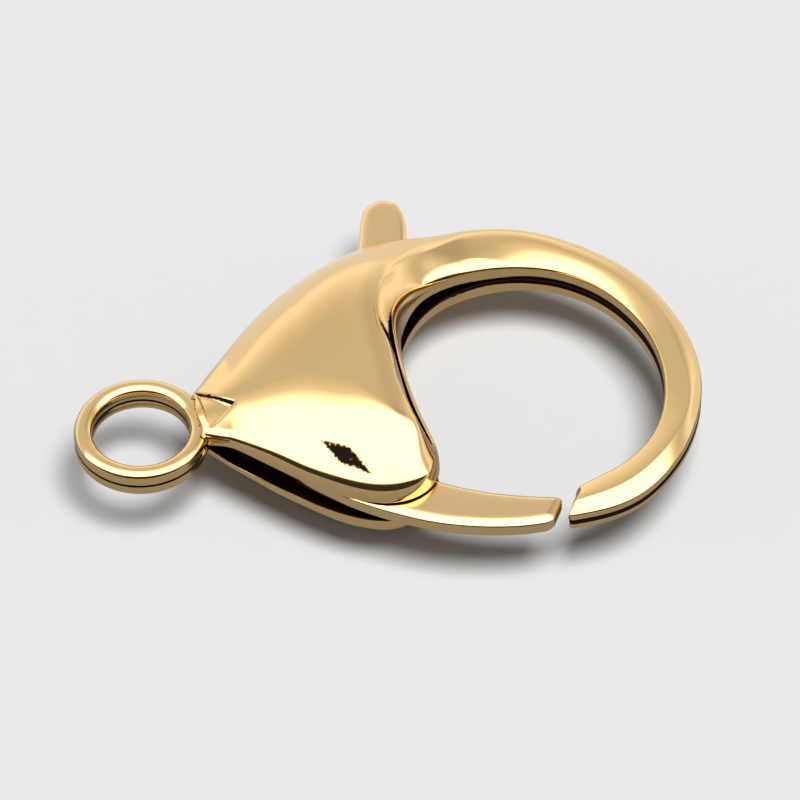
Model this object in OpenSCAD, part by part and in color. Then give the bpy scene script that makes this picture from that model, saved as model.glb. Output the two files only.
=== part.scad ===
// Stamped lobster clasp with a sprung lever, modelled shut.
// Origin: centre of the eyelet's bore, on the seam plane. +X runs to the hook, +Y to the thumb tab's side.

/* [Clasp] */
// Length from the eyelet's end to the hook's end
clasp_length = 26; // [24:0.5:30]
// Height of a shell's crown above the seam plane
crown_height = 3.3; // [3:0.1:3.6]
// Height of the hook above the seam plane, half its full thickness
hook_half_height = 0.8; // [0.75:0.05:0.9]

/* [Shells] */
// Thickness of the pressed sheet
sheet_thickness = 0.6; // [0.45:0.05:0.7]
// Height of the upright rim, from the seam plane to the foot of the crown
rim_height = 1; // [0.9:0.05:1.1]
// Full height of the slot that the lever moves in
slot_height = 1.06; // [1.0:0.02:1.2]
// Gap along the seam, where the two shells meet at the hook and the eyelet
seam_gap = 0.04; // [0.02:0.01:0.06]

/* [Eyelet] */
// Diameter of the eyelet's hole
eye_hole_d = 4.0; // [3.6:0.1:4.2]
// Radial width of the eyelet's ring
eye_ring_w = 0.75; // [0.7:0.05:0.9]
// Height of the eyelet's half ring above the seam plane
eye_half_height = 0.65; // [0.6:0.05:0.75]
// Rounding of the eyelet's edges
eye_round = 0.28; // [0.2:0.02:0.3]

/* [Lever] */
// Thickness of the lever
lever_thickness = 0.92; // [0.8:0.02:0.94]
// Rounding of the lever's edges
lever_round = 0.26; // [0.15:0.01:0.3]
// Fall of the lever's faces from the middle to the edges
lever_fall = 0.05; // [0.02:0.01:0.08]
// Diameter of the hidden pin that the lever turns on
pin_d = 1.2; // [1:0.1:1.4]
// Radial running clearance between the pin and the lever
pin_clearance = 0.05; // [0.02:0.01:0.08]

/* [Hidden] */

gold = [0.86, 0.66, 0.40];
pale_gold = [0.93, 0.78, 0.52];
steel = [0.62, 0.62, 0.64];

// The outline tables are drawn for a clasp of this length and are scaled to clasp_length.
drawn_length = 25.7;
plan = clasp_length / drawn_length;

eye_r = eye_hole_d / 2;
eye_out_r = eye_r + eye_ring_w;
seam = seam_gap / 2;
slot = slot_height / 2;
lever_half = lever_thickness / 2;
pin_xy = plan * [8.05, -3.2];
// The pin ends this far below the inside of the crowns
pin_end_gap = 1.1;
pin_half_length = crown_height - sheet_thickness - pin_end_gap;

// Sections of one shell from the eyelet to the hook's tip.
// Columns: outer rim x, y, inner rim x, y, spine x, y.
SHELL = [
    [ 2.30,  1.35,   2.35, -0.95,   2.32,  0.15],
    [ 2.90,  1.92,   2.95, -1.40,   2.95,  0.25],
    [ 3.75,  2.74,   3.75, -2.10,   3.80,  0.35],
    [ 4.80,  3.90,   4.75, -3.10,   4.90,  0.40],
    [ 6.02,  5.08,   5.95, -4.25,   6.10,  0.42],
    [ 7.20,  5.95,   7.15, -5.20,   7.25,  0.40],
    [ 8.20,  6.56,   8.25, -5.80,   8.25,  0.40],
    [ 8.90,  6.92,   9.25, -6.05,   8.95,  0.50],
    [ 9.50,  7.20,  10.25, -5.92,   9.42,  0.65],
    [10.00,  7.38,  11.05, -5.40,   9.72,  0.90],
    [10.45,  7.53,  11.45, -4.55,   9.92,  1.20],
    [10.90,  7.66,  11.42, -3.40,  10.05,  1.60],
    [11.35,  7.76,  11.18, -1.85,  10.12,  2.10],
    [11.80,  7.84,  11.05, -0.20,  10.20,  2.70],
    [12.25,  7.88,  11.08,  1.30,  10.38,  3.42],
    [12.75,  7.90,  11.35,  2.75,  10.82,  4.25],
    [13.30,  7.88,  12.15,  4.12,  11.60,  5.20],
    [14.00,  7.87,  13.15,  4.95,  12.75,  6.00],
    [14.80,  7.98,  14.40,  5.42,  14.15,  6.60],
    [16.10,  8.00,  15.90,  5.55,  15.90,  6.76],
    [17.90,  7.52,  17.45,  5.32,  17.65,  6.42],
    [20.00,  6.12,  18.95,  4.58,  19.45,  5.34],
    [21.77,  4.12,  20.30,  3.22,  21.02,  3.67],
    [22.84,  1.40,  21.25,  1.15,  22.03,  1.28],
    [23.04, -1.00,  21.47, -0.90,  22.24, -0.95],
    [22.62, -3.10,  21.10, -2.95,  21.86, -3.02],
    [21.50, -5.28,  20.15, -4.70,  20.80, -5.00],
    [19.75, -7.10,  18.75, -5.95,  19.22, -6.50],
    [18.00, -7.92,  17.75, -6.47,  17.87, -7.18],
    [15.97, -8.04,  16.70, -6.86,  16.34, -7.45]
];

// How the same sections rise from the hook's height to the crown's. Columns: section, share of that rise.
CROWN = [
    [0, 0.02], [1, 0.13], [2, 0.34], [3, 0.60], [4, 0.80], [5, 0.92], [6, 0.98], [7, 1], [12, 1],
    [13, 0.985], [14, 0.93], [15, 0.80], [16, 0.56], [17, 0.31], [18, 0.15], [19, 0.06], [20, 0], [29, 0]
];
// Columns: section, share of the full slot under the outer rim, share under the inner rim.
SLOT_OUTER = [[0.5, 0], [1.6, 1], [15.5, 1], [17.6, 0]];
SLOT_INNER = [[0.5, 0], [1.5, 1], [16.2, 1], [18.8, 0]];
// Columns: section, share of the cavity's full height.
CAVITY = [[1.4, 0], [2, 1], [27.5, 1], [28, 0]];
// Columns: section, width of the bevel inside the inner rim.
BEVEL = [[0, 0.06], [9, 0.1], [11, 0.15], [13.4, 0.15], [14.5, 0.45], [16, 0.55], [19, 0.7], [22, 0.4], [29, 0.3]];
// Columns: section, rise of that bevel.
BEVEL_RISE = [
    [0, 0.02], [11, 0.02], [13, 0.06], [14, 0.22], [15, 0.5], [16, 0.5], [17, 0.32], [18, 0.22], [20, 0.12],
    [29, 0.06]
];
// The crown is level this far from the outer rim and beyond
OUTER_RUN = 5.3;
// Columns: section, the same distance from the inner rim. It is short at the lip beside the ring.
INNER_RUN = [
    [0, 5.3], [6, 5.3], [7, 4.2], [8, 2.6], [9, 2], [10, 1.4], [11, 1.2], [12, 0.8], [13, 0.5], [14, 0.5],
    [15, 0.8], [15.5, 1.3], [16, 2.2], [17, 4], [18, 5.3], [29, 5.3]
];
// Columns: section, how steeply the crown leaves its foot, as a power of the way that is left.
STEEPNESS = [[0, 2], [3, 2.8], [5, 3.2], [16, 3.2], [20, 2.4], [29, 2.2]];

// Outline of the lever from the gate's end round the pivot to the thumb tab.
// Columns: outer edge x, y, inner edge x, y.
LEVER = [
    [15.32, -8.08,  16.05, -6.88],
    [14.05, -8.05,  14.65, -6.53],
    [12.40, -7.74,  13.10, -6.00],
    [10.80, -7.20,  11.70, -5.30],
    [ 9.40, -6.47,  10.75, -4.62],
    [ 8.06, -5.60,  10.25, -3.85],
    [ 6.80, -4.58,   9.98, -3.15],
    [ 5.80, -3.58,   9.88, -2.55],
    [ 5.45, -2.65,   9.85, -1.95],
    [ 5.95, -1.85,   9.85, -1.30],
    [ 7.05, -0.80,   9.90, -0.50],
    [ 7.95,  0.80,  10.05,  0.80],
    [ 8.65,  2.90,  10.55,  2.70],
    [ 9.50,  5.30,  11.45,  5.00],
    [10.25,  7.20,  12.30,  7.00],
    [10.70,  8.50,  12.75,  8.45],
    [10.98,  9.55,  12.90,  9.60],
    [11.30, 10.35,  12.72, 10.40],
    [11.78, 10.80,  12.30, 10.80]
];

shell_step = 1 / 2;
lever_step = 1 / 2;
shell_rows = len(SHELL) - 1;
lever_rows = len(LEVER) - 1;
// Distance to either side of a section over which the rim's direction is taken, in sections
tangent_span = 0.05;
// Where the crown is low, its rim wall and its sheet are these shares of its height
wall_share = 0.65;
sheet_share = 0.32;
// Most of the half width that the sheet of a narrow section takes
sheet_width_share = 0.35;
// Extra sheet behind a bevel, as a share of the bevel's width
bevel_backing = 0.3;
// How steeply the cavity leaves its foot, as a power of the way that is left
cavity_power = 5;
// How far a section leaves the rim square to it before it bends to the spine
square_run = 1.2;
// Crowds the points of a section towards its rims
spread = 1.5;
// Points of half a crown, of half a cavity and of one rounded lever edge
crown_points = 8;
cavity_points = 5;
edge_points = 4;

// A row of a table at a fractional section number, on a smooth curve through the rows.
function row(table, s) =
    let (
        last = len(table) - 1,
        i = min(floor(s), last - 1),
        t = s - i,
        a = table[max(i - 1, 0)],
        b = table[i],
        c = table[i + 1],
        d = table[min(i + 2, last)]
    )
    0.5 * (2 * b + (c - a) * t + (2 * a - 5 * b + 4 * c - d) * t ^ 2 + (3 * b - a - 3 * c + d) * t ^ 3);

function xy(r, k) = plan * [r[k], r[k + 1]];
function unit(v) = v / norm(v);

// Direction square to a rim, into the metal. side is 1 for the outer rim and -1 for the inner one.
function inward(s, column, side) =
    let (
        before = xy(row(SHELL, max(s - tangent_span, 0)), column),
        after = xy(row(SHELL, min(s + tangent_span, shell_rows)), column),
        along = unit(after - before)
    )
    side * [along[1], -along[0]];

// A point of the plan on the way from a rim to the spine, at share u of the way.
function way(rim, square, spine, u) =
    let (bend = rim + square * min(square_run, norm(spine - rim) / 2))
    (1 - u) ^ 2 * rim + 2 * u * (1 - u) * bend + u ^ 2 * spine;

function raised(p, z) = [p[0], p[1], z];

// A point on a crown or a cavity: at share u of the way, between the heights foot and top.
// It is level from the distance run onwards.
function domed(rim, square, spine, run, u, foot, top, power) =
    let (
        p = way(rim, square, spine, u),
        left = max(1 - norm(p - rim) / min(norm(spine - rim), run), 0)
    )
    raised(p, top - (top - foot) * left ^ power);

// One closed section of a shell: over the crown from the outer rim to the inner one, and back underneath.
function shell_section(s) =
    let (
        r = row(SHELL, s),
        outer = xy(r, 0),
        inner = xy(r, 2),
        spine = xy(r, 4),
        outer_in = inward(s, 0, 1),
        inner_in = inward(s, 2, -1),
        crown = hook_half_height + (crown_height - hook_half_height) * lookup(s, CROWN),
        outer_foot = seam + (slot - seam) * lookup(s, SLOT_OUTER),
        inner_foot = seam + (slot - seam) * lookup(s, SLOT_INNER),
        wall = min(rim_height, wall_share * crown),
        sheet = min(sheet_thickness, sheet_share * crown),
        bevel = lookup(s, BEVEL),
        crease = wall + lookup(s, BEVEL_RISE),
        crease_xy = inner + inner_in * bevel,
        outer_wall = min(sheet, sheet_width_share * norm(spine - outer)),
        inner_wall = min(sheet, sheet_width_share * norm(spine - inner)) + bevel_backing * bevel,
        outer_sheet = outer + outer_in * outer_wall,
        inner_sheet = inner + inner_in * inner_wall,
        steep = lookup(s, STEEPNESS),
        run = lookup(s, INNER_RUN),
        spine_foot = (outer_foot + inner_foot) / 2,
        roof = spine_foot + max(crown - sheet - spine_foot, 0) * lookup(s, CAVITY)
    )
    [
        raised(outer, outer_foot),
        for (i = [0:crown_points - 1])
            domed(outer, outer_in, spine, OUTER_RUN, (i / crown_points) ^ spread, wall, crown, steep),
        raised(spine, crown),
        for (i = [crown_points - 1:-1:0])
            domed(crease_xy, inner_in, spine, run, (i / crown_points) ^ spread, crease, crown, steep),
        raised(inner, wall),
        raised(inner, inner_foot),
        for (i = [0:cavity_points - 1])
            domed(inner_sheet, inner_in, spine, run, (i / cavity_points) ^ spread, inner_foot, roof, cavity_power),
        raised(spine, roof),
        for (i = [cavity_points - 1:-1:0])
            domed(outer_sheet, outer_in, spine, OUTER_RUN, (i / cavity_points) ^ spread, outer_foot, roof, cavity_power)
    ];

// One closed section of the lever: a bar with rounded edges and slightly crowned faces.
function lever_section(s) =
    let (
        r = row(LEVER, s),
        outer = xy(r, 0),
        inner = xy(r, 2),
        across = unit(inner - outer),
        edge_half = lever_half - lever_fall
    )
    [
        for (side = [1, -1], end = [side, 0, -side])
            if (end == 0)
                raised((outer + inner) / 2, side * lever_half)
            else
                for (i = [0:edge_points - 1])
                    let (
                        a = 90 * (end == side ? i : edge_points - 1 - i) / (edge_points - 1),
                        inset = lever_round * (1 - cos(a)),
                        height = edge_half - lever_round + lever_round * sin(a),
                        p = end == 1 ? outer + across * inset : inner - across * inset
                    )
                    raised(p, side * height)
    ];

// A solid through a list of closed sections of equal length, with a fan of triangles at each end.
// hub is the number of the section point that the end fans start from.
module skin(sections, hub) {
    n = len(sections[0]);
    last = (len(sections) - 1) * n;
    polyhedron(
        points = [for (section = sections) each section],
        faces = [
            for (k = [0:len(sections) - 2], i = [0:n - 1])
                let (a = k * n + i, b = k * n + (i + 1) % n)
                each [[a, b + n, b], [a, a + n, b + n]],
            for (i = [1:n - 2]) [hub, (hub + i) % n, (hub + i + 1) % n],
            for (i = [1:n - 2]) [last + hub, last + (hub + i + 1) % n, last + (hub + i) % n]
        ]
    );
}

// Half of the eyelet: a ring with a true cylindrical bore and rounded edges.
module eyelet_half() {
    chamfer = 0.06;
    rotate_extrude($fn = 96)
        union() {
            translate([eye_r, seam + chamfer])
                square([eye_ring_w, eye_half_height - eye_round - seam - chamfer]);
            polygon([
                [eye_r, seam + chamfer],
                [eye_r + chamfer, seam],
                [eye_out_r - chamfer, seam],
                [eye_out_r, seam + chamfer]
            ]);
            translate([eye_r + eye_round, seam + chamfer])
                square([eye_ring_w - 2 * eye_round, eye_half_height - seam - chamfer]);
            for (x = [eye_r + eye_round, eye_out_r - eye_round])
                translate([x, eye_half_height - eye_round])
                    circle(r = eye_round, $fn = 32);
        }
}

module shell() {
    skin([for (k = [0:shell_rows / shell_step]) shell_section(k * shell_step)], crown_points + 1);
    eyelet_half();
}

module upper_shell() {
    color(gold) shell();
}

module lower_shell() {
    color(gold) mirror([0, 0, 1]) shell();
}

module lever() {
    color(pale_gold)
        difference() {
            skin([for (k = [0:lever_rows / lever_step]) lever_section(k * lever_step)], edge_points);
            translate([pin_xy[0], pin_xy[1], -lever_thickness])
                cylinder(r = pin_d / 2 + pin_clearance, h = 2 * lever_thickness, $fn = 64);
        }
}

module pivot_pin() {
    color(steel)
        translate([pin_xy[0], pin_xy[1], -pin_half_length])
            cylinder(d = pin_d, h = 2 * pin_half_length, $fn = 64);
}

upper_shell();
lower_shell();
lever();
pivot_pin();
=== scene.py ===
# %% [markdown]
# # A lobster clasp in pale gold
# The real object is a small stamped necklace clasp: two pressed half shells with an eyelet and a hook,
# a sprung lever between them, and a hidden pin. The solids come from the frame. This lesson dresses
# them: it builds finer shells and a finer lever around the same outlines, gives them a polished
# finish, and sets a floor, a light and a camera. A mirror finish shows every kink of a mesh, so
# the pieces are lofted from smooth sections and not carved from a few faces.

# %% Load the frame
from math import cos, pi, radians, sin

import bmesh
import bpy
import numpy as np
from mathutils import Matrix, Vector


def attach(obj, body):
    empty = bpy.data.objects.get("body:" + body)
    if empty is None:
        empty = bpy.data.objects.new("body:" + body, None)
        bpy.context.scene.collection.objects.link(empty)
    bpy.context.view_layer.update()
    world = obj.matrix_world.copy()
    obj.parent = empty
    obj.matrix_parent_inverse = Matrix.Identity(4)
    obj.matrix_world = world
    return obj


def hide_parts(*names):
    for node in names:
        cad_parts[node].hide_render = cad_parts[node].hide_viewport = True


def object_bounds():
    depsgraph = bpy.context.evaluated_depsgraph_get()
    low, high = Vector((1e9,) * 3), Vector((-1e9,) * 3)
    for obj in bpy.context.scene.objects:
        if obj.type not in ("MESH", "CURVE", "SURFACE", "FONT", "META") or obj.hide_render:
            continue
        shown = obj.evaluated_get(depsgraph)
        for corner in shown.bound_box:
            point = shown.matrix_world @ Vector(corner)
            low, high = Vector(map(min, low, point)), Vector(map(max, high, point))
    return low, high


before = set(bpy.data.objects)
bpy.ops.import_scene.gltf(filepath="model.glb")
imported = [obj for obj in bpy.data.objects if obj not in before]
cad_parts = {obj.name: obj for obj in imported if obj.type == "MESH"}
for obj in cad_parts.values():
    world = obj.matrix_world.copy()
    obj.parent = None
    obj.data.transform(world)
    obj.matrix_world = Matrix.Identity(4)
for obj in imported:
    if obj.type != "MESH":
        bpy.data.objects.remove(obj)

MM = 0.001
cad_box = [[float(value) for value in corner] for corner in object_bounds()]
print("box of the solids in mm:", [[round(value / MM, 2) for value in corner] for corner in cad_box])

# %% [markdown]
# ## The camera
# The picture was taken from a good way off with a long lens, so the ellipse of the eyelet's hole has
# almost the same shape as in a parallel view. The hole is a circle, and its ellipse gives the height
# of the camera: 48 degrees above the clasp's plane. The clasp lies turned by 11.6 degrees.

# %% Camera
CAMERA_HEIGHT = radians(48)
CAMERA_TURN = radians(11.6)
CAMERA_DISTANCE = 256 * MM
LENS = 279
looked_at = Vector((10.82, -0.16, 0)) * MM
to_camera = Vector((-sin(CAMERA_TURN) * cos(CAMERA_HEIGHT), -cos(CAMERA_TURN) * cos(CAMERA_HEIGHT),
                    sin(CAMERA_HEIGHT)))

camera = bpy.data.objects.new("photo_camera", bpy.data.cameras.new("photo_camera"))
bpy.context.scene.collection.objects.link(camera)
camera.data.lens = LENS
camera.data.clip_start = 5 * MM
camera.data.clip_end = 20
camera.location = looked_at + CAMERA_DISTANCE * to_camera
camera.rotation_euler = (-to_camera).to_track_quat("-Z", "Y").to_euler()
bpy.context.scene.camera = camera
bpy.context.scene.view_settings.view_transform = "Standard"
print("camera at (mm):", [round(value / MM, 1) for value in camera.location])

# %% [markdown]
# ## Small helpers for node trees
# Every material below is a few nodes. Three short helpers keep them readable: one places a node and
# sets its plain values, one joins two sockets, and one empties a material and puts a shader in it.

# %% Node helpers
def place(tree, kind, inputs=None, **settings):
    node = tree.nodes.new(kind)
    for name, value in settings.items():
        setattr(node, name, value)
    for name, value in (inputs or {}).items():
        node.inputs[name].default_value = value
    return node


def join(tree, start, end):
    tree.links.new(start, end)
    return end


def shader_material(name, **values):
    material = bpy.data.materials.new(name)
    material.use_nodes = True
    tree = material.node_tree
    tree.nodes.clear()
    inputs = {key.replace("_", " "): value for key, value in values.items()}
    shader = place(tree, "ShaderNodeBsdfPrincipled", inputs)
    out = place(tree, "ShaderNodeOutputMaterial")
    join(tree, shader.outputs["BSDF"], out.inputs["Surface"])
    return material, tree, shader


# %% [markdown]
# ## The floor
# The clasp lies on pale grey card. The card is one wide sheet at the lowest point of the solids, so the
# clasp rests on it. A little noise keeps it from looking like a drawn background. In the picture
# the metal mirrors a card that is dimmer in front, where the table's shade begins, so the card gets a
# second, darker tone there that only mirrored rays see.

# %% Floor
FLOOR_HALF = 1.5
floor_mesh = bpy.data.meshes.new("floor")
sheet = bmesh.new()
bmesh.ops.create_grid(sheet, x_segments=8, y_segments=8, size=FLOOR_HALF)
sheet.to_mesh(floor_mesh)
sheet.free()
floor = bpy.data.objects.new("floor", floor_mesh)
floor.location = (looked_at.x, looked_at.y, cad_box[0][2])
bpy.context.scene.collection.objects.link(floor)

CARD_TONES = (0.78, 0.80)
card, tree, shader = shader_material("pale_card", Roughness=0.9)
places = place(tree, "ShaderNodeTexCoord")
mottle = place(tree, "ShaderNodeTexNoise", {"Scale": 900.0, "Detail": 3.0})
tone = place(tree, "ShaderNodeMix", {6: (*[CARD_TONES[0]] * 3, 1), 7: (*[CARD_TONES[1]] * 3, 1)},
             data_type="RGBA")
join(tree, places.outputs["Object"], mottle.inputs["Vector"])
join(tree, mottle.outputs["Fac"], tone.inputs[0])

SHADED_TONE = 0.3
SHADED_FROM, SHADED_TO = 6 * MM, 11 * MM
away = (sin(CAMERA_TURN), cos(CAMERA_TURN), 0)
across_card = place(tree, "ShaderNodeVectorMath", {1: away}, operation="DOT_PRODUCT")
to_back = place(tree, "ShaderNodeMapRange", {"From Min": SHADED_FROM, "From Max": SHADED_TO, "To Min": 1.0,
                                             "To Max": 0.0}, interpolation_type="SMOOTHSTEP")
mirrored = place(tree, "ShaderNodeMath", operation="MULTIPLY")
seen = place(tree, "ShaderNodeMix", {7: (*[SHADED_TONE] * 3, 1)}, data_type="RGBA")
join(tree, places.outputs["Object"], across_card.inputs[0])
join(tree, across_card.outputs["Value"], to_back.inputs["Value"])
join(tree, to_back.outputs["Result"], mirrored.inputs[0])
join(tree, place(tree, "ShaderNodeLightPath").outputs["Is Glossy Ray"], mirrored.inputs[1])
join(tree, mirrored.outputs[0], seen.inputs[0])
join(tree, tone.outputs[2], seen.inputs[6])
join(tree, seen.outputs[2], shader.inputs["Base Color"])
floor_mesh.materials.append(card)
print("floor at z (mm):", round(floor.location.z / MM, 2))

# %% [markdown]
# ## The light
# Polished metal shows the room and not itself. In the picture one wide soft box hangs over the front
# of the table, the room behind is dimmer, and a dark band runs low along the front. The world is
# painted by direction: an angle that runs from the front horizon over the top to the back horizon
# picks the brightness. The card is matt and takes its light from a soft lamp overhead, a little to
# the front and the right, which gives the short dark shadows of the picture. The lamp is kept out of
# the reflections, and the world is kept low for the card, so each can be set for itself.

# %% Light
world = bpy.data.worlds.new("soft_studio")
bpy.context.scene.world = world
world.use_nodes = True
tree = world.node_tree
tree.nodes.clear()
direction = place(tree, "ShaderNodeTexCoord").outputs["Generated"]


def share_along(axis):
    dot = place(tree, "ShaderNodeVectorMath", {1: axis}, operation="DOT_PRODUCT")
    join(tree, direction, dot.inputs[0])
    return dot.outputs["Value"]


def maths(kind, first, second):
    node = place(tree, "ShaderNodeMath", operation=kind)
    for socket, value in zip(node.inputs, (first, second)):
        if isinstance(value, (int, float)):
            socket.default_value = value
        else:
            join(tree, value, socket)
    return node.outputs[0]


def eased_between(value, low, high):
    node = place(tree, "ShaderNodeMapRange", {"From Min": low, "From Max": high},
                 interpolation_type="SMOOTHSTEP")
    join(tree, value, node.inputs["Value"])
    return node.outputs["Result"]


front = share_along((-sin(CAMERA_TURN), -cos(CAMERA_TURN), 0))
right = share_along((cos(CAMERA_TURN), -sin(CAMERA_TURN), 0))
up = share_along((0, 0, 1))
over = maths("DIVIDE", maths("ARCTAN2", maths("MAXIMUM", up, 0.0), front), pi)

# Degrees from the front horizon, and the light's strength there
ARCH = [(0, 0.03), (31, 0.04), (38, 2.4), (60, 2.8), (96, 2.6), (110, 0.9), (122, 0.66), (134, 0.66),
        (150, 0.88), (165, 1.1), (174, 1.05), (180, 0.85)]
arch = place(tree, "ShaderNodeValToRGB")
while len(arch.color_ramp.elements) < len(ARCH):
    arch.color_ramp.elements.new(0.5)
BRIGHTEST = max(strength for _, strength in ARCH)
for stop, (angle, strength) in zip(arch.color_ramp.elements, ARCH):
    stop.position = angle / 180
    stop.color = (strength / BRIGHTEST, strength / BRIGHTEST, strength / BRIGHTEST, 1)
join(tree, over, arch.inputs["Fac"])

# The back of the room, from these degrees on, has a dimmer strip on the right
BACK_FROM, BACK_TO = 100, 120
STRIP_STARTS, STRIP_ENDS, STRIP_DEPTH = (0.1, 0.35), (0.5, 0.75), 0.25
at_back = eased_between(over, BACK_FROM / 180, BACK_TO / 180)
in_strip = maths("MULTIPLY", eased_between(right, *STRIP_STARTS),
                 maths("SUBTRACT", 1.0, eased_between(right, *STRIP_ENDS)))
dimmed = maths("SUBTRACT", 1.0, maths("MULTIPLY", maths("MULTIPLY", at_back, in_strip), STRIP_DEPTH))
strength = maths("MULTIPLY", arch.outputs["Color"], dimmed)

# The share of the painted light that reaches the matt card
SKY_SHARE = 0.02
from_card = maths("MINIMUM", place(tree, "ShaderNodeLightPath").outputs["Diffuse Depth"], 1.0)
on_card = maths("MULTIPLY", from_card, 1 - SKY_SHARE)
strength = maths("MULTIPLY", strength, maths("SUBTRACT", 1.0, on_card))

background = place(tree, "ShaderNodeBackground", {"Color": (1, 1, 1, 1)})
join(tree, maths("MULTIPLY", strength, BRIGHTEST), background.inputs["Strength"])
out = place(tree, "ShaderNodeOutputWorld")
join(tree, background.outputs[0], out.inputs["Surface"])
print("light painted with", len(ARCH), "stops")

# %% Lamp for the card
LAMP_STRENGTH = 3.0
LAMP_WIDTH = radians(27)
LAMP_TILT = radians(-18)
LAMP_TURN = radians(20)
lamp = bpy.data.objects.new("overhead", bpy.data.lights.new("overhead", "SUN"))
lamp.data.energy = LAMP_STRENGTH
lamp.data.angle = LAMP_WIDTH
towards_lamp = Vector((-sin(LAMP_TURN) * sin(LAMP_TILT), cos(LAMP_TURN) * sin(LAMP_TILT), cos(LAMP_TILT)))
lamp.rotation_euler = towards_lamp.to_track_quat("Z", "Y").to_euler()
lamp.visible_glossy = False
bpy.context.scene.collection.objects.link(lamp)
print("lamp stands", round(90 - abs(LAMP_TILT) * 180 / pi), "degrees high")

# %% [markdown]
# ## The finish
# The clasp is brass under a thin pale gold plate, buffed on a wheel. Three things keep it from
# looking like plain yellow plastic: the tint wanders a little, the buffing leaves hair-fine waves,
# and shade is painted dark into the creases, with a painted dark reflection in one spot on the front.
# The first two are one node group that each metal uses with its own values. The painted shade and
# reflection are set on the mesh where they lie, as a number for each corner point. The group reads the
# number and lets the fine grain eat into its border, so the dark places end ragged.

# %% Node group for buffed metal
buffed = bpy.data.node_groups.new("buffed_metal", "ShaderNodeTree")
# Crease Colour and Crease are the colour and the amount of painted shade and painted reflection
GIVEN = [("Metal", "NodeSocketColor", (1, 1, 1, 1)), ("Second Tint", "NodeSocketColor", (1, 1, 1, 1)),
         ("Crease Colour", "NodeSocketColor", (0, 0, 0, 1)), ("Roughness", "NodeSocketFloat", 0.1),
         ("Crease", "NodeSocketFloat", 0.0)]
MADE = [("Color", "NodeSocketColor"), ("Roughness", "NodeSocketFloat"), ("Height", "NodeSocketFloat")]
GRAIN_ROUGHNESS = 0.05
# Extra roughness where shade and a reflection are painted dark
SHADE_AND_REFLECTION_ROUGHNESS = 0.4
# How steeply the painted shade and reflection thin out at their border, and how far the grain eats into it
SHADE_AND_REFLECTION_STEEPNESS, GRAIN_BITE = 3.0, 2.0
for name, kind, value in GIVEN:
    buffed.interface.new_socket(name, in_out="INPUT", socket_type=kind).default_value = value
for name, kind in MADE:
    buffed.interface.new_socket(name, in_out="OUTPUT", socket_type=kind)

given = place(buffed, "NodeGroupInput")
result = place(buffed, "NodeGroupOutput")
places = place(buffed, "ShaderNodeTexCoord")
patches = place(buffed, "ShaderNodeTexNoise", {"Scale": 260.0, "Detail": 3.0})
grain = place(buffed, "ShaderNodeTexNoise", {"Scale": 9000.0, "Detail": 2.0})
waves = place(buffed, "ShaderNodeTexNoise", {"Scale": 420.0, "Detail": 1.0})
tint = place(buffed, "ShaderNodeMix", data_type="RGBA")
creased = place(buffed, "ShaderNodeMix", data_type="RGBA")
for noise in (patches, grain, waves):
    join(buffed, places.outputs["Object"], noise.inputs["Vector"])
join(buffed, patches.outputs["Fac"], tint.inputs[0])
join(buffed, given.outputs["Metal"], tint.inputs[6])
join(buffed, given.outputs["Second Tint"], tint.inputs[7])
ragged = place(buffed, "ShaderNodeMath", {1: SHADE_AND_REFLECTION_STEEPNESS, 2: -1.0}, operation="MULTIPLY_ADD")
speckle = place(buffed, "ShaderNodeMath", {1: GRAIN_BITE, 2: -1.0}, operation="MULTIPLY_ADD")
lying = place(buffed, "ShaderNodeMath", operation="ADD", use_clamp=True)
join(buffed, given.outputs["Crease"], ragged.inputs[0])
join(buffed, grain.outputs["Fac"], speckle.inputs[0])
join(buffed, ragged.outputs[0], lying.inputs[0])
join(buffed, speckle.outputs[0], lying.inputs[1])
join(buffed, lying.outputs[0], creased.inputs[0])
join(buffed, tint.outputs[2], creased.inputs[6])
join(buffed, given.outputs["Crease Colour"], creased.inputs[7])
join(buffed, creased.outputs[2], result.inputs["Color"])
grain_share = place(buffed, "ShaderNodeMath", {1: GRAIN_ROUGHNESS}, operation="MULTIPLY")
join(buffed, grain.outputs["Fac"], grain_share.inputs[0])
rough = place(buffed, "ShaderNodeMath", operation="ADD")
join(buffed, given.outputs["Roughness"], rough.inputs[0])
join(buffed, grain_share.outputs[0], rough.inputs[1])
creased_rough = place(buffed, "ShaderNodeMath", {1: SHADE_AND_REFLECTION_ROUGHNESS}, operation="MULTIPLY_ADD")
join(buffed, lying.outputs[0], creased_rough.inputs[0])
join(buffed, rough.outputs[0], creased_rough.inputs[2])
join(buffed, creased_rough.outputs[0], result.inputs["Roughness"])
join(buffed, waves.outputs["Fac"], result.inputs["Height"])
print("group sockets:", [item.name for item in buffed.interface.items_tree])

# %% [markdown]
# ## Materials from the group
# The shells and the lever have the same plate, the lever a touch paler. The pin is bare turned steel.
# A weak bump from the group's broad waves bends the reflections a little, as hand buffing does.
# The shader itself stays in each material, and what is the same all over is set on its own sockets.

# %% Metals
BUFF_STRENGTH = 0.12


def metal(name, colour, second, crease, roughness, wave_height):
    material, tree, shader = shader_material(name, Metallic=1.0)
    group = place(tree, "ShaderNodeGroup", node_tree=buffed)
    group.inputs["Metal"].default_value = (*colour, 1)
    group.inputs["Second Tint"].default_value = (*second, 1)
    group.inputs["Crease Colour"].default_value = (*crease, 1)
    group.inputs["Roughness"].default_value = roughness
    # The amount of painted shade and painted reflection, read from the mesh
    painted_shade_and_reflection = place(tree, "ShaderNodeAttribute", attribute_name="painted_shade_and_reflection")
    join(tree, painted_shade_and_reflection.outputs["Fac"], group.inputs["Crease"])
    join(tree, group.outputs["Color"], shader.inputs["Base Color"])
    join(tree, group.outputs["Roughness"], shader.inputs["Roughness"])
    bump = place(tree, "ShaderNodeBump", {"Strength": BUFF_STRENGTH, "Distance": wave_height})
    join(tree, group.outputs["Height"], bump.inputs["Height"])
    join(tree, bump.outputs["Normal"], shader.inputs["Normal"])
    return material


# The dark colour of the painted shade and of the painted reflection
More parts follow.
